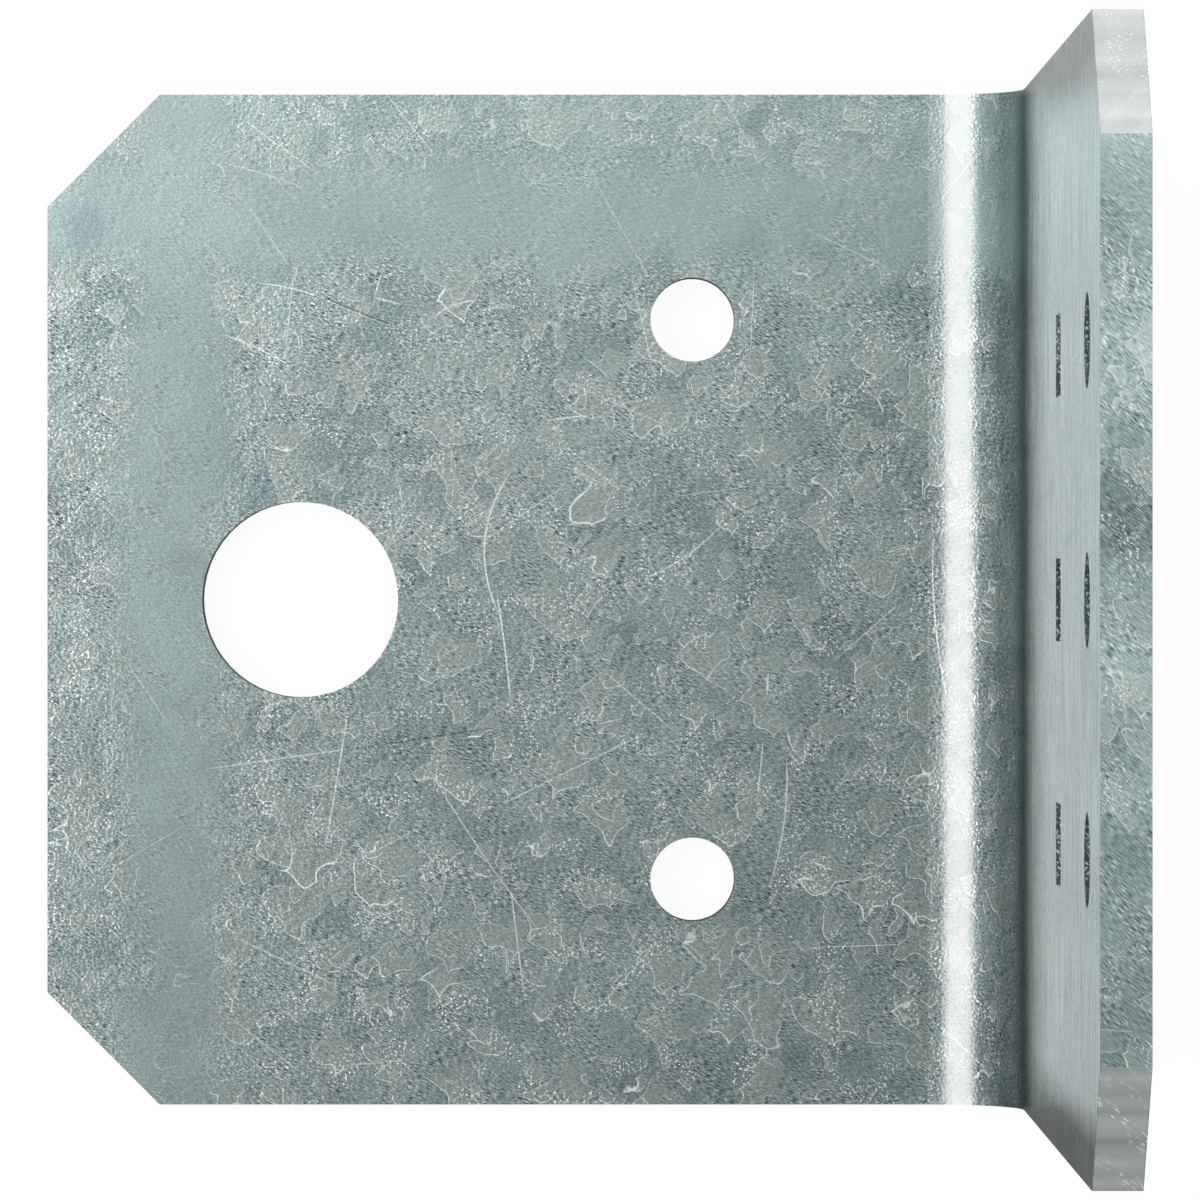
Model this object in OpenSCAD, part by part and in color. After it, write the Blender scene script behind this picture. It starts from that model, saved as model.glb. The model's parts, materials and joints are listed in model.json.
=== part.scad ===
// Steel stud clip: one piece of thick galvanised sheet, cut, punched and folded once to a right angle.
// The base leg lies flat on the XY plane, and the stud leg rises along +Z at its +X end.
// The origin is the centre of the anchor hole, on the underside of the base leg.

/* [Sheet] */
// Width of both legs, measured along the fold
clip_width = 57.15; // [44:0.05:120]
// Thickness of the sheet, with its zinc coat
sheet_thickness = 2.5; // [1:0.1:4]
// Inside radius of the fold
bend_radius = 5.2; // [1:0.1:7]
// Angle that the sheet is folded through
fold_angle = 90; // [60:1:105]
// Side of the 45 degree cut at each free corner
corner_cut = 6.35; // [1:0.05:12]

/* [Base leg] */
// Length of the base leg, to the corner where the two outer faces would meet
base_leg_length = 57.5; // [50:0.1:120]
// Diameter of the anchor hole
anchor_hole_d = 11.1; // [6:0.1:16]
// Distance from the free edge to the anchor hole's centre
anchor_edge_distance = 14.3; // [10:0.1:20]
// Diameter of the two screw holes
base_screw_hole_d = 4.76; // [3:0.01:7]
// Distance from the free edge to the screw holes' centres
base_screw_edge_distance = 36.5; // [32:0.1:38]
// Distance between the two screw holes, along the fold
base_screw_spacing = 31.7; // [12:0.1:36]

/* [Stud leg] */
// Length of the stud leg, to the corner where the two outer faces would meet
stud_leg_length = 76.2; // [60:0.1:160]
// Number of rows of holes across the leg
stud_hole_rows = 3; // [1:1:3]
// Distance from one row to the next, along the fold
stud_hole_pitch = 12.7; // [10:0.1:16]
// Diameter of the round holes near the free end
round_hole_d = 4.76; // [3:0.01:7]
// Distance from the free end to the round holes' centres
round_hole_end_distance = 10.3; // [8:0.1:16]
// Side of the square holes
square_hole_side = 4.3; // [3:0.1:7]
// Distance from the free end to the square holes' centres
square_hole_end_distance = 35; // [24:0.1:40]

/* [Hidden] */
$fn = 96;

// Distance that each cutter stands proud of the sheet's faces
cutter_overrun = 1;
// Outside radius of the fold
fold_outer_radius = bend_radius + sheet_thickness;
// Distance from the corner of the outer faces to the line where each leg leaves the fold
fold_setback = fold_outer_radius * tan(fold_angle / 2);
// Flat length of each leg, from the fold to the free end
base_flat = base_leg_length - fold_setback;
stud_flat = stud_leg_length - fold_setback;
// Axis of the fold, which runs along Y above the line where the base leg ends
fold_axis_x = base_flat - anchor_edge_distance;
fold_axis_z = fold_outer_radius;

// Outline of a leg laid flat: the fold on the Y axis, the free end towards +X with its corners cut
module leg_outline(flat) {
    half = clip_width / 2;
    polygon([
        [0, -half],
        [flat - corner_cut, -half],
        [flat, -half + corner_cut],
        [flat, half - corner_cut],
        [flat - corner_cut, half],
        [0, half]
    ]);
}

// A row of equal cutters across a leg, spaced evenly about its middle
module across_leg(count, pitch) {
    for (i = [0 : count - 1])
        translate([0, (i - (count - 1) / 2) * pitch, -cutter_overrun])
            children();
}

module round_cutter(diameter) {
    cylinder(d = diameter, h = sheet_thickness + 2 * cutter_overrun);
}

module square_cutter(side) {
    translate([-side / 2, -side / 2, 0])
        cube([side, side, sheet_thickness + 2 * cutter_overrun]);
}

// Base leg laid flat: one anchor hole near the free edge and a pair of screw holes behind it
module flat_base_leg() {
    difference() {
        linear_extrude(sheet_thickness)
            leg_outline(base_flat);
        translate([base_flat - anchor_edge_distance, 0, 0])
            across_leg(1, 0)
                round_cutter(anchor_hole_d);
        translate([base_flat - base_screw_edge_distance, 0, 0])
            across_leg(2, base_screw_spacing)
                round_cutter(base_screw_hole_d);
    }
}

// Stud leg laid flat: a column of round holes near the free end and a column of square ones behind it
module flat_stud_leg() {
    difference() {
        linear_extrude(sheet_thickness)
            leg_outline(stud_flat);
        translate([stud_flat - round_hole_end_distance, 0, 0])
            across_leg(stud_hole_rows, stud_hole_pitch)
                round_cutter(round_hole_d);
        translate([stud_flat - square_hole_end_distance, 0, 0])
            across_leg(stud_hole_rows, stud_hole_pitch)
                square_cutter(square_hole_side);
    }
}

// The fold: the sheet's own section swept about the fold's axis, from the base leg's end upwards
module fold() {
    rotate([90, 90, 0])
        rotate_extrude(angle = fold_angle)
            translate([bend_radius, -clip_width / 2])
                square([sheet_thickness, clip_width]);
}

module stud_clip() {
    color("lightslategray") {
        translate([fold_axis_x, 0, 0])
            mirror([1, 0, 0])
                flat_base_leg();
        translate([fold_axis_x, 0, fold_axis_z])
            fold();
        translate([fold_axis_x, 0, fold_axis_z])
            rotate([0, -fold_angle, 0])
                translate([0, 0, -fold_outer_radius])
                    flat_stud_leg();
    }
}

stud_clip();
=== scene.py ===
"""Finish and studio for a steel stud clip, a thick galvanised sheet that is cut, punched and folded once.

The sheet itself is the frame's own node, at its real size. This file gives it its zinc coat, drawn on the
sheet as if it lay unfolded, and stands it on a white floor under soft studio light.
"""

import json
import math
from collections import namedtuple

import bpy
import numpy as np
from bpy.props import FloatProperty, FloatVectorProperty, PointerProperty
from bpy.types import Operator, Panel, PropertyGroup
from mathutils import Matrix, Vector


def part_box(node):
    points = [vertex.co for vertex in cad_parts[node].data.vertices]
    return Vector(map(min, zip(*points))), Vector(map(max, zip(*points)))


bl_info = {
    "name": "Galvanised stud clip",
    "version": (1, 0, 0),
    "blender": (4, 5, 0),
    "location": "View3D > Sidebar > Stud clip",
    "description": "Zinc coat and white studio for a folded steel stud clip",
    "category": "Object",
}

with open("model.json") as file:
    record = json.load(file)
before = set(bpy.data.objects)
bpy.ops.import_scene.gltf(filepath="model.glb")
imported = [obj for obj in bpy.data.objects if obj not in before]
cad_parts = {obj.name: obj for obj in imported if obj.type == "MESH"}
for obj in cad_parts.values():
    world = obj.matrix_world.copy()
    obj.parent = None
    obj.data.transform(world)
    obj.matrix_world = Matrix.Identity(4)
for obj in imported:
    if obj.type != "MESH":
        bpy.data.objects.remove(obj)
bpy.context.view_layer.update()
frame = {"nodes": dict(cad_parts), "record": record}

MM = 0.001
SHEET_NODE = "stud_clip"

# Colour of the lamps, warm enough that the zinc's bluish grey stays as it is written
WARM_WHITE = (1.0, 0.86, 0.85)

# Half width of the pale line along a flake's torn edge, a painted highlight, in millimetres
TORN_HALF_WIDTH = 0.048

# Sockets that the functions of the coat hand on: places and masks of the sheet, then the coat's own parts
SheetPlaces = namedtuple("SheetPlaces", "sheet flat along across sheared punched tip")
CoatNoise = namedtuple("CoatNoise", "clouds grain specks parts flake_place")
WornZones = namedtuple("WornZones", "bands unbanded burnished unworn")
# A flake's torn edge is a painted highlight, drawn only on its side towards the light
Flakes = namedtuple("Flakes", "face torn dulled")
Marks = namedtuple("Marks", "rubbed dimmed")
Streaks = namedtuple("Streaks", "noise swing")

# Scratches that stand out on the base leg, in millimetres from the anchor hole: start, end, bow to the left
# as a share of the length, width, and strength, which is below zero for a dark one, painted shade along the
# scratch's groove
SCRATCHES = (
    ((-3.4, 27.3), (0.7, 24.3), 0.0, 0.07, 0.6),
    ((-4.3, 24.7), (0.4, 23.2), 0.02, 0.06, 0.6),
    ((-2.4, 17.9), (1.4, 17.0), 0.04, 0.06, 0.8),
    ((1.4, 17.0), (5.4, 15.4), -0.01, 0.06, 0.5),
    ((1.4, 17.1), (5.3, 15.5), -0.01, 0.09, -1.0),
    ((5.6, 15.0), (9.0, 12.8), 0.0, 0.05, -0.7),
    ((-4.4, 15.0), (-0.7, 13.3), 0.03, 0.065, 0.9),
    ((4.6, 18.5), (4.2, 17.1), 0.0, 0.06, 0.8),
    ((4.2, 17.1), (5.7, 16.7), 0.0, 0.07, 0.9),
    ((7.5, 15.9), (10.0, 16.9), 0.1, 0.07, 0.8),
    ((14.2, 12.7), (21.5, 9.5), 0.0, 0.06, 0.5),
    ((13.9, 10.1), (16.4, 10.4), 0.02, 0.07, 0.9),
    ((19.3, 1.1), (24.0, 4.4), -0.06, 0.07, 0.7),
    ((24.0, 4.4), (27.0, 5.7), 0.05, 0.08, -0.9),
    ((12.1, 7.5), (11.4, -1.2), -0.15, 0.075, 1.0),
    ((11.1, 0.5), (11.9, -5.7), 0.01, 0.07, 1.0),
    ((35.9, 3.6), (36.9, -5.7), -0.04, 0.08, 0.8),
    ((-5.4, -9.6), (3.2, -8.4), 0.0, 0.06, 0.6),
    ((2.0, -8.6), (11.3, -7.2), 0.0, 0.08, -0.8),
    ((2.7, -6.4), (1.4, -14.3), 0.0, 0.065, 0.8),
    ((6.9, -8.9), (13.8, -19.1), -0.02, 0.06, 0.6),
    ((11.2, -11.7), (19.8, -7.4), 0.0, 0.06, 0.6),
    ((11.9, -16.2), (12.7, -22.7), 0.0, 0.06, 0.7),
    ((-3.7, -19.1), (2.6, -22.1), 0.0, 0.06, 0.6),
    ((26.5, -4.1), (26.4, -5.4), 0.0, 0.08, 0.9),
    ((26.2, -8.0), (25.9, -11.1), 0.0, 0.06, 0.8),
    ((27.5, -8.8), (26.5, -16.4), 0.05, 0.07, 0.8),
)

# Flakes that stand out there: middle, half length and half width, and turn in degrees. This table and the
# one above each hold a multiple of three rows, because they are drawn three at a time.
FLAKES = (
    ((0.6, -14.5), (2.2, 1.6), 10),
    ((4.5, -15.9), (1.5, 2.1), 0),
    ((8.2, -21.3), (2.1, 0.8), 10),
    ((8.8, -10.5), (1.5, 0.9), 10),
    ((30.3, -15.6), (1.9, 1.0), 15),
    ((34.8, -17.3), (1.6, 1.7), 20),
    ((9.1, 17.1), (1.6, 1.2), 15),
    ((-2.9, 15.2), (1.1, 1.2), 0),
    ((16.4, 5.6), (1.4, 1.9), 0),
)

# Middles of the clusters of white specks and of the soft dark spots there
SUGARED = ((6.0, 15.2), (24.4, -9.7), (17.1, 0.3), (31.4, 0.8))
DULLED = ((-10.7, 16.2), (-12.4, 21.3), (1.2, -17.6), (-2.0, -7.4), (4.0, -13.3), (25.6, 0.5))


def linear(hex_colour):
    """Linear RGBA of an sRGB hex colour."""
    srgb = [int(hex_colour[i:i + 2], 16) / 255 for i in (1, 3, 5)]
    return [c / 12.92 if c <= 0.04045 else ((c + 0.055) / 1.055) ** 2.4 for c in srgb] + [1.0]


def sheet_thickness():
    """Thickness of the sheet, which is the length of the anchor hole's wall."""
    mounts = {mount["name"]: mount for mount in frame["record"]["mounts"]}
    return mounts["anchor_hole"]["dims"]["length_mm"] * MM


class SheetSizes(PropertyGroup):
    """Sizes of the folded sheet and of the patterns in its zinc."""

    thickness: FloatProperty(
        name="Thickness", description="Thickness of the sheet", default=sheet_thickness(),
        min=0.0, unit="LENGTH")
    bend_radius: FloatProperty(
        name="Bend radius", description="Inside radius of the fold", default=5.2 * MM, min=0.0,
        unit="LENGTH")
    grain_length: FloatProperty(
        name="Grain length", description="Length of one stroke of the fine grain", default=0.36 * MM,
        min=0.0, unit="LENGTH")
    grain_width: FloatProperty(
        name="Grain width", description="Width of one stroke of the fine grain", default=0.05 * MM,
        min=0.0, unit="LENGTH")
    pit_size: FloatProperty(
        name="Pit size", description="Width of the pits that make the surface uneven", default=0.17 * MM,
        min=0.0, unit="LENGTH")
    pit_depth: FloatProperty(
        name="Pit depth", description="Depth of the pits", default=0.016 * MM, min=0.0, unit="LENGTH")


class ZincColours(PropertyGroup):
    """Colours of the zinc coat."""

    cold: FloatVectorProperty(
        name="Cold zinc", description="Bluish grey between the flakes", default=linear("#697979"),
        size=4, subtype="COLOR", min=0.0, max=1.0)
    pale: FloatVectorProperty(
        name="Pale zinc", description="Lighter clouds of the coat", default=linear("#778887"),
        size=4, subtype="COLOR", min=0.0, max=1.0)
    dark: FloatVectorProperty(
        name="Dark zinc", description="Bluish hollows beside the flakes", default=linear("#526366"),
        size=4, subtype="COLOR", min=0.0, max=1.0)
    flake: FloatVectorProperty(
        name="Flake", description="Warm grey of the flakes", default=linear("#808d8b"),
        size=4, subtype="COLOR", min=0.0, max=1.0)
    # Bare zinc, which along the flakes' torn edges serves as a painted highlight
    bare: FloatVectorProperty(
        name="Bare zinc", description="Scratches, specks and torn edges", default=linear("#dfe5e4"),
        size=4, subtype="COLOR", min=0.0, max=1.0)
    burnished: FloatVectorProperty(
        name="Burnished zinc", description="Zinc that the punch has rubbed smooth",
        default=linear("#7c8585"), size=4, subtype="COLOR", min=0.0, max=1.0)
    cut: FloatVectorProperty(
        name="Sheared edge", description="Zinc on the sheared corners and sides", default=linear("#a9afae"),
        size=4, subtype="COLOR", min=0.0, max=1.0)
    # The dark of the holes' walls is partly their own cut tone and partly painted shade, less on walls
    # facing +Y
    punched: FloatVectorProperty(
        name="Punched hole", description="Dark zinc on the walls of the holes",
        default=linear("#4a5656"), size=4, subtype="COLOR", min=0.0, max=1.0)


class StudioSettings(PropertyGroup):
    """Strength of the lamps."""

    key: FloatProperty(
        name="Key", description="Radiance of the lamp above the free edge", default=3.6, min=0.0)
    top: FloatProperty(
        name="Top", description="Radiance of the lamp high on the +Y side", default=0.5, min=0.0)
    side: FloatProperty(
        name="Side", description="Radiance of the lamp low on the +Y side", default=1.1, min=0.0)


def add(tree, kind, inputs=None, **settings):
    """Add one node. Settings are its own properties.

    Inputs are set by number or by name, to a number, a colour, a socket or another node's first output.
    """
    node = tree.nodes.new("ShaderNode" + kind)
    for name, value in settings.items():
        setattr(node, name, value)
    for name, value in (inputs or {}).items():
        if isinstance(name, int):
            socket = node.inputs[name]
        else:
            socket = next(s for s in node.inputs if s.enabled and s.name == name)
        if isinstance(value, bpy.types.Node):
            value = next(s for s in value.outputs if s.enabled)
        if isinstance(value, bpy.types.NodeSocket):
            tree.links.new(value, socket)
        else:
            socket.default_value = value
    return node


def places_on_sheet(tree, sizes):
    """Places on the sheet as if it lay flat, in millimetres, and masks of its cut faces.

    Along is x up to the fold, then it grows by the neutral radius times the angle about the fold's axis, and
    past the fold by the height. Across is y. Depth is the distance from the inner skin, straight through the
    sheet, and it moves the pattern askew, so that no cut face shows it as plain lines. Cut faces are those
    between the sheet's two skins: sheared ones are turned to a side and lie near it, and punched ones are
    the rest but for the sheet's two ends. Those count less where they face the light on the +Y side.
    """
    hair = 0.01
    askew = (1.0, 0.45, 0.0)
    least_turn = 0.45
    outer_part = 0.75
    inner = sizes.bend_radius / MM
    thick = sizes.thickness / MM
    low, high = (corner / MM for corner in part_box(SHEET_NODE))
    axis_x = high.x - thick - inner
    axis_z = thick + inner
    leg_end = axis_x + (inner + thick / 2) * math.pi / 2 + high.z - axis_z

    place = add(tree, "VectorMath", {0: add(tree, "TexCoord").outputs["Object"], "Scale": 1 / MM},
                operation="SCALE")
    x, y, z = add(tree, "SeparateXYZ", {0: place}).outputs
    past = add(tree, "Math", {0: add(tree, "Math", {0: x, 1: axis_x}, operation="SUBTRACT"), 1: 0.0},
               operation="MAXIMUM")
    below = add(tree, "Math", {0: add(tree, "Math", {0: axis_z, 1: z}, operation="SUBTRACT"), 1: 0.0},
                operation="MAXIMUM")
    above = add(tree, "Math", {0: add(tree, "Math", {0: z, 1: axis_z}, operation="SUBTRACT"), 1: 0.0},
                operation="MAXIMUM")
    angle = add(tree, "Math", {0: past, 1: below}, operation="ARCTAN2")
    before = add(tree, "Math", {0: x, 1: axis_x}, operation="MINIMUM")
    round_fold = add(tree, "Math", {0: angle, 1: inner + thick / 2, 2: before}, operation="MULTIPLY_ADD")
    along = add(tree, "Math", {0: round_fold, 1: above}, operation="ADD")
    from_axis = add(tree, "VectorMath", {0: add(tree, "CombineXYZ", {0: past, 1: below})},
                    operation="LENGTH")
    depth = add(tree, "Math", {0: from_axis.outputs["Value"], 1: inner}, operation="SUBTRACT")
    flat = add(tree, "CombineXYZ", {0: along, 1: y})
    sheet = add(tree, "VectorMath", {0: depth, 1: askew, 2: flat}, operation="MULTIPLY_ADD")

    cut = add(tree, "Math", {0: depth, 1: thick / 2, 2: thick / 2 - 3 * hair}, operation="COMPARE")
    normal = add(tree, "SeparateXYZ", {0: add(tree, "TexCoord").outputs["Normal"]})
    turned_aside = add(tree, "Math", {0: normal.outputs[1]}, operation="ABSOLUTE")
    sideways = add(tree, "Math", {0: turned_aside, 1: least_turn}, operation="GREATER_THAN")
    off_middle = add(tree, "Math", {0: y}, operation="ABSOLUTE")
    outer = add(tree, "Math", {0: off_middle, 1: outer_part * high.y}, operation="GREATER_THAN")
    cut_sideways = add(tree, "Math", {0: cut, 1: sideways}, operation="MULTIPLY")
    sheared = add(tree, "Math", {0: cut_sideways, 1: outer}, operation="MULTIPLY")
    off_ends = add(tree, "Math", {0: along, 1: (low.x + leg_end) / 2, 2: (leg_end - low.x) / 2 - hair},
                   operation="COMPARE")
    # Painted shade: a wall gets less of the dark where it turns towards the +Y lamps
    unlit = add(tree, "MapRange", {"Value": normal.outputs[1], "From Min": 0.2, "From Max": 0.9,
                                   "To Min": off_ends, "To Max": 0.3})
    unlit = add(tree, "Math", {0: unlit, 1: off_ends}, operation="MINIMUM")
    unsheared = add(tree, "Math", {0: cut, 1: sheared}, operation="SUBTRACT")
    punched = add(tree, "Math", {0: unsheared, 1: unlit}, operation="MULTIPLY")
    tip = add(tree, "Math", {0: along, 1: leg_end - hair}, operation="GREATER_THAN")
    return SheetPlaces(sheet, flat, along, y, sheared, punched, tip)


def hump(tree, coordinate, middle, flat, reach, height):
    """A smooth hump along a coordinate: its height within flat of the middle, and zero past reach."""
    off_middle = add(tree, "Math", {0: coordinate, 1: middle}, operation="SUBTRACT")
    away = add(tree, "Math", {0: off_middle}, operation="ABSOLUTE")
    return add(tree, "MapRange", {"Value": away, "From Min": flat, "From Max": reach, "To Min": height,
                                  "To Max": 0.0}, interpolation_type="SMOOTHSTEP")


def smooth_bands(tree, at, ragged):
    """Two smoother bands that cross near one corner, where the sheet lay against something as it cooled."""
    wander = 4.0
    masks = []
    for coordinate, middle in ((at.across, 21.7), (at.along, -7.2)):
        moved = add(tree, "Math", {0: ragged, 1: wander, 2: coordinate}, operation="MULTIPLY_ADD")
        masks.append(hump(tree, moved, middle=middle + wander / 2, flat=1.0, reach=4.5, height=1.0))
    return add(tree, "Math", {0: masks[0], 1: masks[1]}, operation="MAXIMUM")


def soft_spots(tree, place, middles, radius):
    """Round spots with soft edges, from their middles and their radius in millimetres."""
    nearest = radius
    for x, y in middles:
        off_middle = add(tree, "VectorMath", {0: place, 1: (x, y, 0.0)}, operation="DISTANCE")
        nearest = add(tree, "Math", {0: off_middle.outputs["Value"], 1: nearest}, operation="MINIMUM")
    return add(tree, "MapRange", {"Value": nearest, "From Min": 0.3 * radius, "From Max": radius,
                                  "To Min": 1.0, "To Max": 0.0})


def in_threes(rows):
    """The rows in groups of three, each group as one array for each column."""
    return [[np.array(column) for column in zip(*rows[i:i + 3])] for i in range(0, len(rows), 3)]


def measured(tree, along, across, direction, offset):
    """For three lines at once, the place times the line's direction plus its offset: one to each part."""
    part = add(tree, "VectorMath", {0: across, 1: direction[:, 1], 2: offset}, operation="MULTIPLY_ADD")
    return add(tree, "VectorMath", {0: along, 1: direction[:, 0], 2: part}, operation="MULTIPLY_ADD")


def measured_from(tree, along, across, middle, step):
    """For three lines at once, the distance from its middle in steps, where a step is a vector."""
    direction = step / (step ** 2).sum(axis=1, keepdims=True)
    return measured(tree, along, across, direction, -(middle * direction).sum(axis=1))


def least(tree, vector):
    """The least part of a vector."""
    x, y, z = add(tree, "SeparateXYZ", {0: vector}).outputs
    least_two = add(tree, "Math", {0: x, 1: y}, operation="MINIMUM")
    return add(tree, "Math", {0: least_two, 1: z}, operation="MINIMUM")


def torn_flake(tree, inside, rise, chosen):
    """A flake's face and its torn edge, from the distance inside its outline, in millimetres, and the rise.

    The pale torn edge is a painted highlight. It is drawn only at the lower left, where the rise is below
    zero and a raised edge would catch the light, and the face is stronger there, which is painted light as
    well. At the upper right the face is half as strong and has no torn edge. Chosen is 0 where there is no
    flake.
    """
    shaded_side_face = 0.55
    lit_side = add(tree, "MapRange", {"Value": rise, "From Min": -0.3, "From Max": 0.4, "To Min": chosen,
                                  "To Max": 0.0})
    body = add(tree, "MapRange", {"Value": inside, "From Max": TORN_HALF_WIDTH, "To Max": chosen})
    strength = add(tree, "Math", {0: lit_side, 1: 1 - shaded_side_face, 2: shaded_side_face}, operation="MULTIPLY_ADD")
    face = add(tree, "Math", {0: body, 1: strength}, operation="MULTIPLY")
    past_edge = add(tree, "Math", {0: inside, 1: TORN_HALF_WIDTH}, operation="SUBTRACT")
    off_edge = add(tree, "Math", {0: past_edge}, operation="ABSOLUTE")
    line = add(tree, "MapRange", {"Value": off_edge, "From Max": TORN_HALF_WIDTH, "To Min": 1.0,
                                  "To Max": 0.0})
    return face, add(tree, "Math", {0: line, 1: lit_side}, operation="MULTIPLY")


def flake_layer(tree, place, cell_size, smallest, largest, share):
    """Flakes at random: each cell of a Voronoi pattern may hold one, with a radius of its own.

    A flake is the diamond about the cell's point, and its outline is ragged because noise has bent the
    place. The cells are handed back too, for what else lies in them.
    """
    cell = add(tree, "TexVoronoi", {"Vector": place, "Scale": 1 / cell_size}, voronoi_dimensions="2D",
               distance="MANHATTAN")
    pick = add(tree, "SeparateColor", {0: cell.outputs["Color"]})
    radius = add(tree, "MapRange", {"Value": pick.outputs[0], "From Min": 1 - share, "To Min": smallest,
                                    "To Max": largest})
    inside = add(tree, "Math", {0: cell.outputs["Distance"], 1: -cell_size, 2: radius},
                 operation="MULTIPLY_ADD")
    offset = add(tree, "VectorMath", {0: place, 1: cell.outputs["Position"]}, operation="SUBTRACT")
    upper_right = (0.62 / cell_size, 0.78 / cell_size, 0.0)
    rise = add(tree, "VectorMath", {0: offset, 1: upper_right}, operation="DOT_PRODUCT")
    chosen = add(tree, "Math", {0: pick.outputs[0], 1: 1 - share}, operation="GREATER_THAN")
    face, torn = torn_flake(tree, inside, rise.outputs["Value"], chosen)
    return face, torn, cell


def drawn_flakes(tree, place):
    """The flakes of the table, three at a time: turned diamonds.

    Out is |a| + |b| for the place's shares a and b of a flake's half length and half width: 0 at its middle
    and 1 on its outline, so reach * (1 - out) is taken as the distance inside. Tilted is out plus
    tilt * (a + b), and the least of each gives the rise.
    """
    reach, tilt = 0.75, 0.3
    x, y, _ = add(tree, "SeparateXYZ", {0: place}).outputs
    along = add(tree, "CombineXYZ", {0: x, 1: x, 2: x})
    across = add(tree, "CombineXYZ", {0: y, 1: y, 2: y})
    far_out = (9.0, 9.0, 9.0)
    least_out, least_tilted = far_out, far_out
    for middle, halves, turn in in_threes(FLAKES):
        lengthwise = np.stack([np.cos(np.radians(turn)), np.sin(np.radians(turn))], axis=1)
        crosswise = np.stack([-lengthwise[:, 1], lengthwise[:, 0]], axis=1)
        share_long = measured_from(tree, along, across, middle, lengthwise * halves[:, :1])
        share_cross = measured_from(tree, along, across, middle, crosswise * halves[:, 1:])
        off_long = add(tree, "VectorMath", {0: share_long}, operation="ABSOLUTE")
        off_cross = add(tree, "VectorMath", {0: share_cross}, operation="ABSOLUTE")
        out = add(tree, "VectorMath", {0: off_long, 1: off_cross}, operation="ADD")
        rise = add(tree, "VectorMath", {0: share_long, 1: share_cross}, operation="ADD")
        tilted = add(tree, "VectorMath", {0: rise, 1: [tilt] * 3, 2: out}, operation="MULTIPLY_ADD")
        least_out = add(tree, "VectorMath", {0: out, 1: least_out}, operation="MINIMUM")
        least_tilted = add(tree, "VectorMath", {0: tilted, 1: least_tilted}, operation="MINIMUM")
    out, tilted = least(tree, least_out), least(tree, least_tilted)
    inside = add(tree, "Math", {0: out, 1: -reach, 2: reach}, operation="MULTIPLY_ADD")
    tilt_there = add(tree, "Math", {0: tilted, 1: out}, operation="SUBTRACT")
    rise = add(tree, "Math", {0: tilt_there, 1: 1 / tilt}, operation="MULTIPLY")
    return torn_flake(tree, inside, rise, 1.0)


def scratch_layer(tree, sheet, cell_size, middle_angle, spread, width, share):
    """Fine straight scratches: each cell of a Voronoi pattern may hold one, at an angle of its own."""
    cell = add(tree, "TexVoronoi", {"Vector": sheet, "Scale": 1 / cell_size}, voronoi_dimensions="2D")
    pick = add(tree, "SeparateColor", {0: cell.outputs["Color"]})
    offset = add(tree, "VectorMath", {0: sheet, 1: cell.outputs["Position"]}, operation="SUBTRACT")
    angle = add(tree, "MapRange", {"Value": pick.outputs[1], "To Min": math.radians(middle_angle - spread),
                                   "To Max": math.radians(middle_angle + spread)})
    turned = add(tree, "VectorRotate", {"Vector": offset, "Angle": angle}, rotation_type="Z_AXIS")
    lengthwise, crosswise, _ = add(tree, "SeparateXYZ", {0: turned}).outputs
    off_line = add(tree, "Math", {0: crosswise}, operation="ABSOLUTE")
    line = add(tree, "MapRange", {"Value": off_line, "From Min": 0.2 * width, "From Max": 0.7 * width,
                                  "To Min": 1.0, "To Max": 0.0})
    chosen = add(tree, "MapRange", {"Value": pick.outputs[0], "From Min": 1 - share, "To Max": 0.8})
    off_end = add(tree, "Math", {0: lengthwise}, operation="ABSOLUTE")
    ends = add(tree, "MapRange", {"Value": off_end, "From Min": 0.2 * cell_size,
                                  "From Max": 0.55 * cell_size, "To Min": 1.0, "To Max": 0.0})
    faded = add(tree, "Math", {0: line, 1: ends}, operation="MULTIPLY")
    return add(tree, "Math", {0: faded, 1: chosen}, operation="MULTIPLY")


def drawn_scratches(tree, at):
    """The scratches of the table, three at a time, as strengths.

    Lengthwise goes from -1 to 1 along a scratch. Crosswise is the distance to the left of its arc in widths,
    where the arc stands bow * length * (1 - lengthwise**2) to the left. The scratch has its full strength
    where |crosswise| + lengthwise**8 is 0 and none where that is 1.
    """
    along = add(tree, "CombineXYZ", {0: at.along, 1: at.along, 2: at.along})
    across = add(tree, "CombineXYZ", {0: at.across, 1: at.across, 2: at.across})
    total, full = (0.0, 0.0, 0.0), 0.0
    for start, end, bow, width, strength in in_threes(SCRATCHES):
        half_run = (end - start) / 2
        half_length = np.linalg.norm(half_run, axis=1)
        lengthwise = measured_from(tree, along, across, (start + end) / 2, half_run)
        left = np.stack([-half_run[:, 1], half_run[:, 0]], axis=1) / (half_length * width)[:, None]
        height = 2 * bow * half_length / width
        off_chord = measured(tree, along, across, left, -(start * left).sum(axis=1) - height)
        square = add(tree, "VectorMath", {0: lengthwise, 1: lengthwise}, operation="MULTIPLY")
        fourth = add(tree, "VectorMath", {0: square, 1: square}, operation="MULTIPLY")
        eighth = add(tree, "VectorMath", {0: fourth, 1: fourth}, operation="MULTIPLY")
        crosswise = add(tree, "VectorMath", {0: square, 1: height, 2: off_chord}, operation="MULTIPLY_ADD")
        away = add(tree, "VectorMath", {0: crosswise}, operation="ABSOLUTE")
        reach = add(tree, "VectorMath", {0: away, 1: eighth}, operation="ADD")
        short = add(tree, "VectorMath", {0: reach, 1: (1.0, 1.0, 1.0)}, operation="MINIMUM")
        total = add(tree, "VectorMath", {0: short, 1: -strength, 2: total}, operation="MULTIPLY_ADD")
        full += strength.sum()
    missing = add(tree, "VectorMath", {0: total, 1: (1.0, 1.0, 1.0)}, operation="DOT_PRODUCT")
    return add(tree, "Math", {0: missing.outputs["Value"], 1: full}, operation="ADD")


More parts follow.
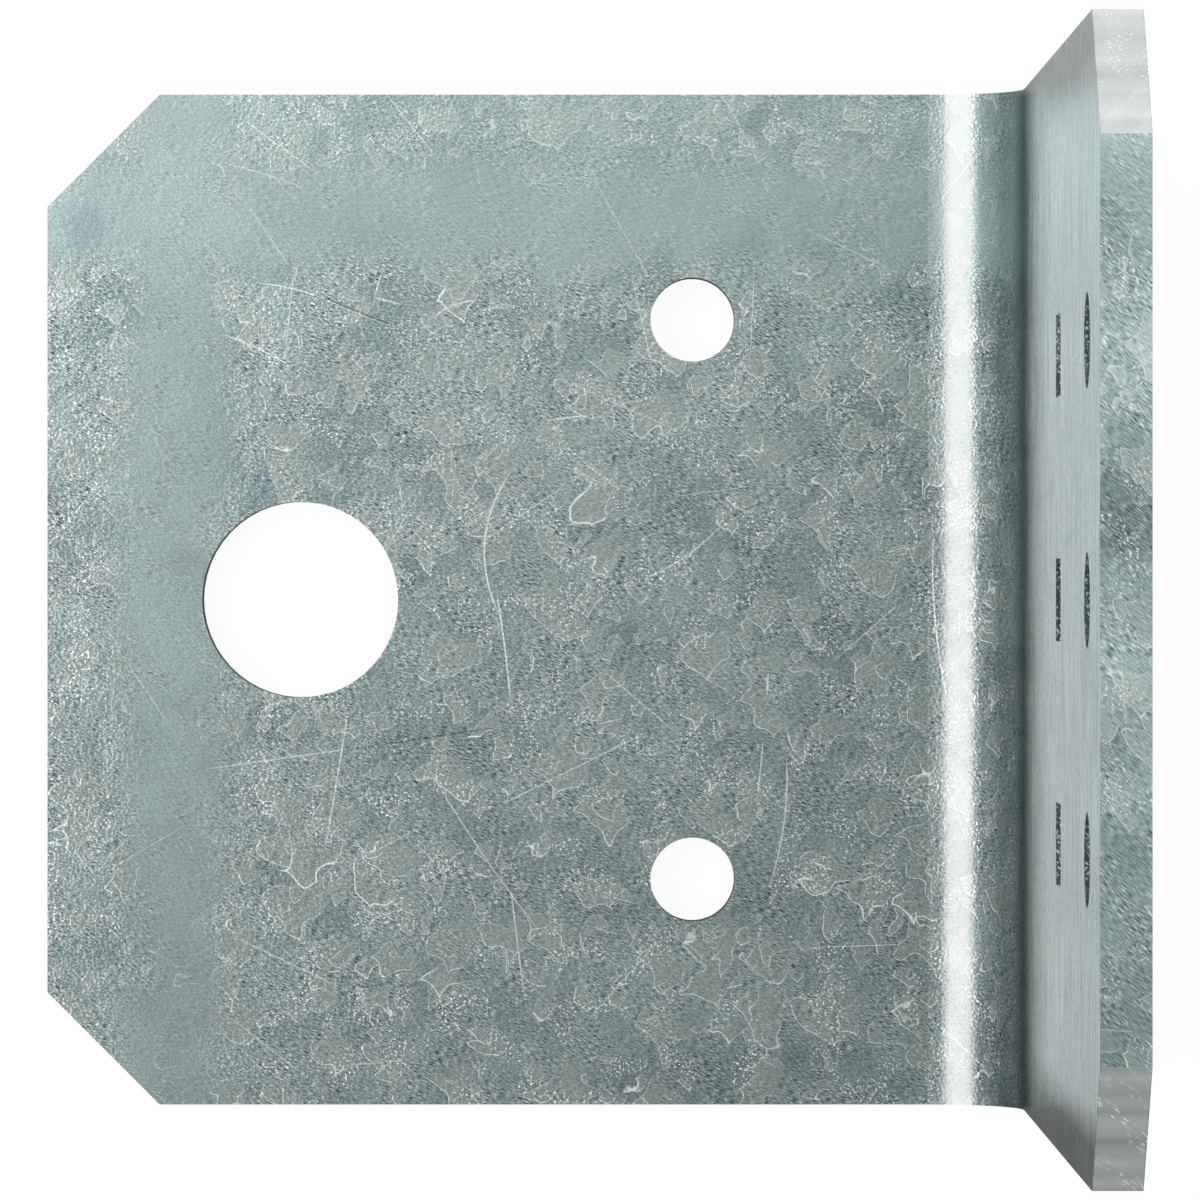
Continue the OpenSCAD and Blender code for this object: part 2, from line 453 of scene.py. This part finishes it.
def all_scratches(tree, at, uneven):
    """Scratches as strengths, above zero for a pale one and below for a dark one, which is painted shade.

    Fine ones lie at random all over, and those of the table on the base leg. The uneven noise breaks them.
    """
    fine = scratch_layer(tree, at.sheet, cell_size=6.5, middle_angle=100.0, spread=80.0, width=0.05,
                         share=0.8)
    strength = add(tree, "Math", {0: drawn_scratches(tree, at), 1: fine}, operation="ADD")
    kept = add(tree, "MapRange", {"Value": uneven, "From Min": 0.35, "From Max": 0.6, "To Min": 0.6})
    return add(tree, "Math", {0: strength, 1: kept}, operation="MULTIPLY")


def coat_noise(tree, at, sizes):
    """The noises of the coat, all drawn on the unfolded sheet.

    Clouds are 4 to 15 mm across, grain is short slanting strokes, and specks are about 0.2 mm wide. Parts
    are three slow noises, and the first two bend the place where flakes are drawn, which makes them ragged.
    Sizes are in millimetres.
    """
    slant = math.radians(-22)
    cloud_size, part_size, speck_size = 6.25, 2.5, 1 / 6
    most_bend = 2.6
    clouds = add(tree, "TexNoise", {
        "Vector": at.sheet, "Scale": 1 / cloud_size, "Detail": 2.0, "Roughness": 0.7}, noise_dimensions="2D")
    stroke_place = add(tree, "Mapping", {
        "Vector": at.sheet, "Rotation": (0.0, 0.0, slant),
        "Scale": (sizes.grain_length / MM, sizes.grain_width / MM, 1.0)}, vector_type="TEXTURE")
    grain = add(tree, "TexNoise", {"Vector": stroke_place, "Scale": 1.0, "Detail": 1.0, "Roughness": 0.5},
                noise_dimensions="2D")
    specks = add(tree, "TexNoise", {
        "Vector": at.sheet, "Scale": 1 / speck_size, "Detail": 1.0, "Roughness": 0.8}, noise_dimensions="2D")
    bent = add(tree, "TexNoise", {
        "Vector": at.sheet, "Scale": 1 / part_size, "Detail": 1.0, "Roughness": 0.6}, noise_dimensions="2D")
    parts = add(tree, "SeparateColor", {0: bent.outputs["Color"]}).outputs
    bend = add(tree, "VectorMath", {0: bent.outputs["Color"], 1: (0.5, 0.5, 0.5)}, operation="SUBTRACT")
    flake_place = add(tree, "VectorMath", {0: bend, 1: (most_bend, most_bend, 0.0), 2: at.sheet},
                      operation="MULTIPLY_ADD")
    return CoatNoise(clouds, grain, specks, parts, flake_place)


def worn_zones(tree, at, noise):
    """Where the coat is smoother: the two bands, and the strip that the press brake's punch has burnished.

    The punch touched the start of the fold's inside, and less so the hollows of its grain. Unworn is 1 on
    the plain skins, and at its least in these zones and on the sheared faces.
    """
    bands = smooth_bands(tree, at, noise.clouds)
    unbanded = add(tree, "Math", {0: 1.0, 1: bands}, operation="SUBTRACT")
    ragged_along = add(tree, "Math", {0: noise.grain, 1: 1.2, 2: at.along}, operation="MULTIPLY_ADD")
    touched = add(tree, "MapRange", {"Value": noise.grain, "From Min": 0.25, "From Max": 0.55,
                                     "To Min": 0.5})
    burnished = add(tree, "Math", {
        0: hump(tree, ragged_along, middle=38.25, flat=0.7, reach=1.5, height=1.0), 1: touched},
        operation="MULTIPLY")
    rubbed = add(tree, "Math", {0: burnished, 1: bands}, operation="MAXIMUM")
    worn = add(tree, "Math", {0: rubbed, 1: at.sheared}, operation="MAXIMUM")
    unworn = add(tree, "MapRange", {"Value": worn, "To Min": 1.0, "To Max": 0.35})
    return WornZones(bands, unbanded, burnished, unworn)


def coat_flakes(tree, noise, zones):
    """Faces and torn edges of all flakes, and the dark spots between them, as shares.

    Flakes lie at random in two sizes, and those of the table at their own places. The specks' noise breaks
    the torn edges of the random ones. Some large cells hold a dark hollow, and the table's dark spots come
    on top.
    """
    place = noise.flake_place
    large_face, large_torn_highlight, cell = flake_layer(
        tree, place, cell_size=3.0, smallest=0.5, largest=2.0, share=0.62)
    small_face, small_torn_highlight, _ = flake_layer(
        tree, place, cell_size=1.5, smallest=0.25, largest=0.85, share=0.55)
    drawn_face, drawn_torn_highlight = drawn_flakes(tree, place)
    random_face = add(tree, "Math", {0: large_face, 1: small_face}, operation="MAXIMUM")
    face = add(tree, "Math", {0: random_face, 1: drawn_face}, operation="MAXIMUM")
    # The torn edges are painted highlights, drawn only on the flakes' lit sides
    random_torn_highlight = add(tree, "Math", {0: large_torn_highlight, 1: small_torn_highlight}, operation="MAXIMUM")
    broken = add(tree, "MapRange", {"Value": noise.specks, "From Min": 0.22, "From Max": 0.42,
                                    "To Max": random_torn_highlight})
    torn = add(tree, "Math", {0: broken, 1: drawn_torn_highlight}, operation="MAXIMUM")

    pick = add(tree, "SeparateColor", {0: cell.outputs["Color"]})
    deep = add(tree, "MapRange", {"Value": pick.outputs[2], "From Min": 0.78, "From Max": 0.95,
                                  "To Max": 0.55})
    deep = add(tree, "Math", {0: deep, 1: zones.unbanded}, operation="MULTIPLY")
    hollow = add(tree, "MapRange", {"Value": cell.outputs["Distance"], "From Min": 0.15, "From Max": 0.6,
                                    "To Min": deep, "To Max": 0.0})
    dulled = add(tree, "Math", {0: soft_spots(tree, place, DULLED, radius=1.7), 1: 0.45, 2: hollow},
                 operation="MULTIPLY_ADD", use_clamp=True)
    return Flakes(face, torn, dulled)


def rubbed_marks(tree, at, noise, zones, torn):
    """How far bare zinc shows in scratches, specks and torn edges, and how dark a scratch or pinhole is.
    Along the torn edges the bare zinc is a painted highlight, and a dark scratch is painted shade.

    Specks lie in loose clusters, in those of the table and on the punched walls. Marks are weak on the
    burnished strip, which is about as bright as they are. Dimmed is 1 where nothing is dark.
    """
    scratches = all_scratches(tree, at, noise.specks)
    speck_low = add(tree, "MapRange", {"Value": at.punched, "To Min": 0.61, "To Max": 0.57})
    speck_high = add(tree, "Math", {0: speck_low, 1: 0.12}, operation="ADD")
    specks = add(tree, "MapRange", {"Value": noise.specks, "From Min": speck_low, "From Max": speck_high})
    clustered = add(tree, "MapRange", {"Value": noise.parts[2], "From Min": 0.5, "From Max": 0.65,
                                       "To Max": zones.unbanded})
    for more in (soft_spots(tree, noise.flake_place, SUGARED, radius=1.5), at.punched):
        clustered = add(tree, "Math", {0: clustered, 1: more}, operation="MAXIMUM")
    specks = add(tree, "Math", {0: specks, 1: clustered}, operation="MULTIPLY")
    # Torn edges here are painted highlights
    torn_highlight_kept = add(tree, "Math", {0: torn, 1: zones.unworn}, operation="MULTIPLY")
    flecks = add(tree, "Math", {0: torn_highlight_kept, 1: specks}, operation="MAXIMUM")
    marks = add(tree, "Math", {0: scratches, 1: flecks}, operation="MAXIMUM")
    most = add(tree, "MapRange", {"Value": zones.burnished, "To Min": 0.85, "To Max": 0.15})
    rubbed = add(tree, "Math", {0: marks, 1: most}, operation="MULTIPLY", use_clamp=True)

    # Painted shade: dark scratches darken the colour as the shaded side of a groove would
    scratch_shade = add(tree, "MapRange", {"Value": scratches, "From Min": -0.8, "From Max": 0.0, "To Min": 0.35})
    pinholes = add(tree, "MapRange", {"Value": noise.specks, "From Min": 0.17, "From Max": 0.24,
                                      "To Min": 0.5})
    dimmed = add(tree, "Math", {0: scratch_shade, 1: pinholes}, operation="MULTIPLY")
    return Marks(rubbed, dimmed)


def ground_and_flakes(tree, noise, zones, flakes, colours):
    """Colour of the coat without its grain: clouds, which are evener in the bands, dark spots and flakes."""
    cloudy = add(tree, "MapRange", {"Value": noise.clouds, "From Min": 0.32, "From Max": 0.68})
    half_bands = add(tree, "Math", {0: zones.bands, 1: 0.5}, operation="MULTIPLY")
    paleness = add(tree, "Mix", {"Factor": half_bands, "A": cloudy, "B": 0.7}, data_type="FLOAT")
    flake_share = add(tree, "Math", {0: flakes.face, 1: zones.unworn}, operation="MULTIPLY")
    colour = list(colours.cold)
    for share, paint in (
        (paleness, colours.pale),
        (flakes.dulled, colours.dark),
        (flake_share, colours.flake),
    ):
        colour = add(tree, "Mix", {"Factor": share, "A": colour, "B": list(paint)}, data_type="RGBA")
    return colour


def grained(tree, colour, at, noise, zones, flakes, marks, colours):
    """The colour with its grain: strokes darken it, dark marks more so, and bare zinc shows on the crests.
    Dark scratches among the marks are painted shade.

    The grain is deeper in some places than in others, calmer near the +Y side, and fainter on flakes and in
    the worn zones.
    """
    depth = add(tree, "MapRange", {"Value": noise.parts[0], "From Min": 0.35, "From Max": 0.65,
                                   "To Min": 1.9, "To Max": 3.5})
    calm_side = add(tree, "MapRange", {"Value": at.across, "From Min": 22.0, "From Max": 27.0, "To Min": 1.0,
                                       "To Max": 0.6})
    depth = add(tree, "Math", {0: depth, 1: calm_side}, operation="MULTIPLY")
    about_mean = add(tree, "Math", {0: noise.grain, 1: 0.5}, operation="SUBTRACT")
    swing = add(tree, "Math", {0: about_mean, 1: depth}, operation="MULTIPLY")
    kept = add(tree, "MapRange", {"Value": flakes.face, "To Min": zones.unworn, "To Max": 0.6})
    swing = add(tree, "Math", {0: swing, 1: kept}, operation="MULTIPLY")
    tone = add(tree, "MapRange", {"Value": swing, "From Min": -1.0, "From Max": 0.3, "To Min": 0.0,
                                  "To Max": 1.3})
    tone = add(tree, "Math", {0: tone, 1: marks.dimmed}, operation="MULTIPLY")
    colour = add(tree, "VectorMath", {0: colour, "Scale": tone}, operation="SCALE")
    crests = add(tree, "MapRange", {"Value": swing, "From Min": 0.3, "From Max": 1.1, "To Max": 0.5})
    return add(tree, "Mix", {"Factor": crests, "A": colour, "B": list(colours.bare)}, data_type="RGBA")


def on_cut_faces(tree, colour, at, colours):
    """The colour with the cut faces: dark inside the punched holes, partly painted shade, and pale where the
    sheet was sheared.
    """
    sheared_most = add(tree, "Math", {0: at.sheared, 1: 0.75}, operation="MULTIPLY")
    for share, paint in ((at.punched, colours.punched), (sheared_most, colours.cut)):
        colour = add(tree, "Mix", {"Factor": share, "A": colour, "B": list(paint)}, data_type="RGBA")
    return colour


def leg_streaks(tree, at):
    """Streaks along the fold on the stud leg: their noise, and how far they lighten or darken the zinc.

    One is about 0.9 mm wide and 8 mm long.
    """
    width, length = 0.9, 8.0
    streak_place = add(tree, "Mapping", {"Vector": at.flat, "Scale": (width, length, 1.0)},
                       vector_type="TEXTURE")
    noise = add(tree, "TexNoise", {"Vector": streak_place, "Scale": 1.0, "Detail": 1.0, "Roughness": 0.7},
                noise_dimensions="2D")
    on_leg = add(tree, "MapRange", {"Value": at.along, "From Min": 44.0, "From Max": 48.0})
    swing = add(tree, "MapRange", {"Value": noise, "From Min": 0.2, "From Max": 0.8, "To Min": -0.22,
                                   "To Max": 0.22})
    return Streaks(noise, add(tree, "Math", {0: swing, 1: on_leg}, operation="MULTIPLY"))


def tone_and_painted_light(tree, at, zones, streaks):
    """Slow changes in tone: across the sheet, in the bands, round the fold, at the tip, and the streaks.

    Most of it is painted light and shade. The fold's steep part is painted lighter and the leg just past
    the fold darker, for the light and shade that they reflect. The sheet is painted lighter towards the +Y
    side and the -X end, and the tip lighter still, for how the lamps fall on them. The bands' paler tone and
    the streaks are the coat's own.
    """
    # Painted light on the fold's steep part, and painted shade on the leg just past the fold
    painted_fold_light = hump(tree, at.along, middle=43.0, flat=0.3, reach=2.8, height=0.5)
    painted_fold_shade = hump(tree, at.along, middle=49.5, flat=3.0, reach=14.0, height=-0.16)
    painted_fold_tone = add(tree, "Math", {0: painted_fold_light, 1: painted_fold_shade}, operation="ADD")
    tone = add(tree, "Math", {0: painted_fold_tone, 1: 1.0}, operation="ADD")
    # Painted light: lighter towards the +Y side and the -X end, and a lighter tip; the bands' row is the
    # coat's own tone
    for drift in (
        {"Value": zones.bands, "To Min": 1.0, "To Max": 1.1},
        {"Value": at.across, "From Min": -28.0, "From Max": 28.0, "To Min": 0.90, "To Max": 1.30},
        {"Value": at.along, "From Min": -14.0, "From Max": 36.0, "To Min": 1.03, "To Max": 0.93},
        {"Value": at.across, "From Min": 10.0, "From Max": 28.0, "To Min": 1.0, "To Max": 1.12},
        {"Value": at.tip, "To Min": 1.0, "To Max": 1.38},
    ):
        tone = add(tree, "Math", {0: tone, 1: add(tree, "MapRange", drift)}, operation="MULTIPLY")
    streak_tone = add(tree, "Math", {0: streaks.swing, 1: 1.0}, operation="ADD")
    return add(tree, "Math", {0: tone, 1: streak_tone}, operation="MULTIPLY")


def white_bloom(tree, at, streaks):
    """White bloom on the stud leg, as a sheen: it starts past the fold and ends short of both sides."""
    strongest = add(tree, "MapRange", {"Value": streaks.noise, "From Min": 0.3, "From Max": 0.7,
                                       "To Min": 0.26, "To Max": 0.50})
    on_leg = add(tree, "MapRange", {"Value": at.along, "From Min": 48.0, "From Max": 72.0,
                                    "To Max": strongest})
    near_top = add(tree, "MapRange", {"Value": at.across, "From Min": 24.0, "From Max": 26.5,
                                      "To Min": on_leg, "To Max": 0.16})
    off_top = add(tree, "Math", {0: near_top, 1: on_leg}, operation="MINIMUM")
    off_bottom = add(tree, "MapRange", {"Value": at.across, "From Min": -26.5, "From Max": -24.5})
    return add(tree, "Math", {0: off_top, 1: off_bottom}, operation="MULTIPLY")


def coat_roughness(tree, at, zones, flakes, streaks):
    """Roughness: smoother flakes, duller hollows and cut faces, and streaks on the stud leg."""
    plain = 0.27
    roughness = add(tree, "Math", {0: flakes.face, 1: -0.05, 2: plain}, operation="MULTIPLY_ADD")
    for share, change in (
        (flakes.dulled, 0.08),
        (at.punched, 0.15),
        (at.sheared, 0.19),
        (zones.burnished, -0.01),
        (streaks.swing, 0.4),
    ):
        roughness = add(tree, "Math", {0: share, 1: change, 2: roughness}, operation="MULTIPLY_ADD")
    return roughness


def pitted_relief(tree, sizes, unworn):
    """Fine pits in the surface, fainter where worn, drawn in the round because they have no direction."""
    place = add(tree, "TexCoord").outputs["Object"]
    pits = add(tree, "TexNoise", {"Vector": place, "Scale": 1 / sizes.pit_size, "Detail": 0.0})
    return add(tree, "Bump", {"Strength": unworn, "Height": pits, "Distance": sizes.pit_depth})


def galvanised_zinc(sizes, colours):
    """Hot-dip galvanised steel: dull zinc with flakes, fine grain, specks and rubbed scratches.

    The zinc froze on the sheet in flat crystals, which show as warm flakes on colder, grainy ground. The
    press, the shear and handling have rubbed parts of it bright.
    """
    material = bpy.data.materials.new("hot_dip_galvanised_zinc")
    material.use_nodes = True
    tree = material.node_tree
    tree.nodes.clear()
    at = places_on_sheet(tree, sizes)
    noise = coat_noise(tree, at, sizes)
    zones = worn_zones(tree, at, noise)
    flakes = coat_flakes(tree, noise, zones)
    marks = rubbed_marks(tree, at, noise, zones, flakes.torn)
    streaks = leg_streaks(tree, at)

    colour = ground_and_flakes(tree, noise, zones, flakes, colours)
    colour = grained(tree, colour, at, noise, zones, flakes, marks, colours)
    colour = on_cut_faces(tree, colour, at, colours)
    # This tone carries painted light and shade besides the coat's own tone
    colour = add(tree, "VectorMath", {0: colour, "Scale": tone_and_painted_light(tree, at, zones, streaks)},
                 operation="SCALE")
    # Bare zinc here also paints highlights along the flakes' torn edges
    for share, paint in ((zones.burnished, colours.burnished), (marks.rubbed, colours.bare)):
        colour = add(tree, "Mix", {"Factor": share, "A": colour, "B": list(paint)}, data_type="RGBA")

    shader = add(tree, "BsdfPrincipled", {
        "Base Color": colour, "Metallic": 1.0, "Roughness": coat_roughness(tree, at, zones, flakes, streaks),
        "Normal": pitted_relief(tree, sizes, zones.unworn), "Sheen Weight": white_bloom(tree, at, streaks),
        "Sheen Roughness": 0.3, "Sheen Tint": linear("#ebffff")})
    add(tree, "OutputMaterial", {"Surface": shader})
    return material


class STUDCLIP_OT_sheet(Operator):
    """Give the folded sheet its zinc coat"""

    bl_idname = "stud_clip.sheet"
    bl_label = "Folded sheet"

    def execute(self, context):
        settings = context.scene
        sheet = frame["nodes"][SHEET_NODE]
        sheet.material_slots[0].material = galvanised_zinc(settings.clip_sizes, settings.clip_colours)
        return {"FINISHED"}


def square_floor(name, half, level):
    """A flat square: x and y go from -half to half on a two by two grid, and z is the level."""
    side = np.linspace(-half, half, 3)
    x, y = np.meshgrid(side, side)
    points = np.stack([x.ravel(), y.ravel(), np.full(x.size, level)], axis=1)
    first = np.array([0, 1, 3, 4])
    faces = np.stack([first, first + 1, first + 4, first + 3], axis=1)
    mesh = bpy.data.meshes.new(name)
    mesh.from_pydata(points.tolist(), [], faces.tolist())
    floor = bpy.data.objects.new(name, mesh)
    bpy.context.scene.collection.objects.link(floor)
    return floor


def seen_ray(tree):
    """1 for a ray from the camera, a reflection or a transmission, and 0 for one that only carries light."""
    rays = add(tree, "LightPath").outputs
    first = add(tree, "Math", {0: rays["Is Camera Ray"], 1: rays["Is Glossy Ray"]}, operation="MAXIMUM")
    return add(tree, "Math", {0: first, 1: rays["Is Transmission Ray"]}, operation="MAXIMUM")


def white_paper():
    """White seamless paper: the camera sees it at full white, less the object's faint shadow.

    Reflections see it white too, but for a painted shadow: a dark round patch on the paper about the clip,
    which only reflections show.
    """
    material = bpy.data.materials.new("white_seamless_paper")
    material.use_nodes = True
    tree = material.node_tree
    tree.nodes.clear()
    # Painted shadow that only reflections see: its middle and reach, in metres
    painted_shadow_middle = (0.02, -0.012, 0.0)
    painted_shadow_reach = 0.07
    share = add(tree, "Math", {0: seen_ray(tree), 1: 0.95}, operation="MULTIPLY")
    lit = add(tree, "BsdfDiffuse", {"Color": linear("#f4f4f4")})
    painted_shadow_place = add(tree, "Mapping", {
        "Vector": add(tree, "TexCoord").outputs["Object"], "Scale": (painted_shadow_reach, painted_shadow_reach, 1.0),
        "Location": painted_shadow_middle}, vector_type="TEXTURE")
    distance = add(tree, "VectorMath", {0: painted_shadow_place}, operation="LENGTH")
    # Painted shadow: the glow that reflections see falls to 0.15 close to the clip
    outside_painted_shadow = add(tree, "MapRange", {"Value": distance.outputs["Value"], "From Min": 0.5, "From Max": 1.1,
                                      "To Min": 0.15})
    strength = add(tree, "Math", {0: outside_painted_shadow, 1: add(tree, "LightPath").outputs["Is Camera Ray"]},
                   operation="MAXIMUM")
    glow = add(tree, "Emission", {"Color": (1.0, 1.0, 1.0, 1.0), "Strength": strength})
    mixed = add(tree, "MixShader", {0: share, 1: lit, 2: glow})
    add(tree, "OutputMaterial", {"Surface": mixed})
    return material


def white_world():
    """A white studio: full white where it is seen, and a little more where it only gives light."""
    world = bpy.data.worlds.new("white_studio")
    world.use_nodes = True
    tree = world.node_tree
    tree.nodes.clear()
    strength = add(tree, "MapRange", {"Value": seen_ray(tree), "To Min": 1.1, "To Max": 1.0})
    background = add(tree, "Background", {"Color": (1.0, 1.0, 1.0, 1.0), "Strength": strength})
    add(tree, "OutputWorld", {"Surface": background})
    bpy.context.scene.world = world


def soft_box(name, place, target, size, radiance):
    """A rectangular lamp that faces a target. Its power is its radiance times its area times pi.

    The first size lies level and the second one across it.
    """
    width, height = size
    lamp = bpy.data.lights.new(name, "AREA")
    lamp.shape = "RECTANGLE"
    lamp.size, lamp.size_y = width, height
    lamp.energy = radiance * width * height * math.pi
    lamp.color = WARM_WHITE
    box = bpy.data.objects.new(name, lamp)
    bpy.context.scene.collection.objects.link(box)
    box.location = place
    box.rotation_euler = (Vector(target) - Vector(place)).to_track_quat("-Z", "Y").to_euler()
    return box


def photo_camera():
    """The camera looks straight down on the base leg from 463 mm above its upper face."""
    camera = bpy.data.cameras.new("photo_camera")
    camera.sensor_width = 36.0
    camera.lens = 245.4
    camera.shift_x = 0.0057
    camera.shift_y = -0.0033
    holder = bpy.data.objects.new("photo_camera", camera)
    bpy.context.scene.collection.objects.link(holder)
    holder.location = (16.58 * MM, 0.20 * MM, 465.4 * MM)
    bpy.context.scene.camera = holder


class STUDCLIP_OT_stage(Operator):
    """Set the white floor, the studio light and the camera"""

    bl_idname = "stud_clip.stage"
    bl_label = "Studio"

    def execute(self, context):
        studio = context.scene.clip_studio
        floor = square_floor("floor", half=3.0, level=-0.02 * MM)
        floor.data.materials.append(white_paper())
        white_world()
        soft_box("key_box", place=(-0.216, 0.05, 0.335), target=(0.037, 0.05, 0.0), size=(0.5, 0.30),
                 radiance=studio.key)
        soft_box("top_box", place=(0.03, 0.203, 0.457), target=(0.03, 0.0, 0.0), size=(0.6, 0.30),
                 radiance=studio.top)
        soft_box("side_box", place=(0.04, 0.60, 0.10), target=(0.04, 0.0, 0.04), size=(0.5, 0.25),
                 radiance=studio.side)
        photo_camera()
        context.scene.view_settings.view_transform = "Standard"
        return {"FINISHED"}


class STUDCLIP_PT_panel(Panel):
    """The clip's sizes, colours and steps"""

    bl_label = "Stud clip"
    bl_idname = "STUDCLIP_PT_panel"
    bl_space_type = "VIEW_3D"
    bl_region_type = "UI"
    bl_category = "Stud clip"

    def draw(self, context):
        scene = context.scene
        for group in (scene.clip_sizes, scene.clip_colours, scene.clip_studio):
            box = self.layout.box()
            for name in group.__annotations__:
                box.prop(group, name)
        for step in STEPS:
            self.layout.operator(step.bl_idname)


STEPS = (STUDCLIP_OT_sheet, STUDCLIP_OT_stage)
GROUPS = {"clip_sizes": SheetSizes, "clip_colours": ZincColours, "clip_studio": StudioSettings}


def register():
    for kind in (*GROUPS.values(), *STEPS, STUDCLIP_PT_panel):
        bpy.utils.register_class(kind)
    for name, group in GROUPS.items():
        setattr(bpy.types.Scene, name, PointerProperty(type=group))


def unregister():
    for name in GROUPS:
        delattr(bpy.types.Scene, name)
    for kind in reversed((*GROUPS.values(), *STEPS, STUDCLIP_PT_panel)):
        bpy.utils.unregister_class(kind)


def main():
    register()
    bpy.ops.stud_clip.sheet()
    bpy.ops.stud_clip.stage()


if __name__ == "__main__":
    main()
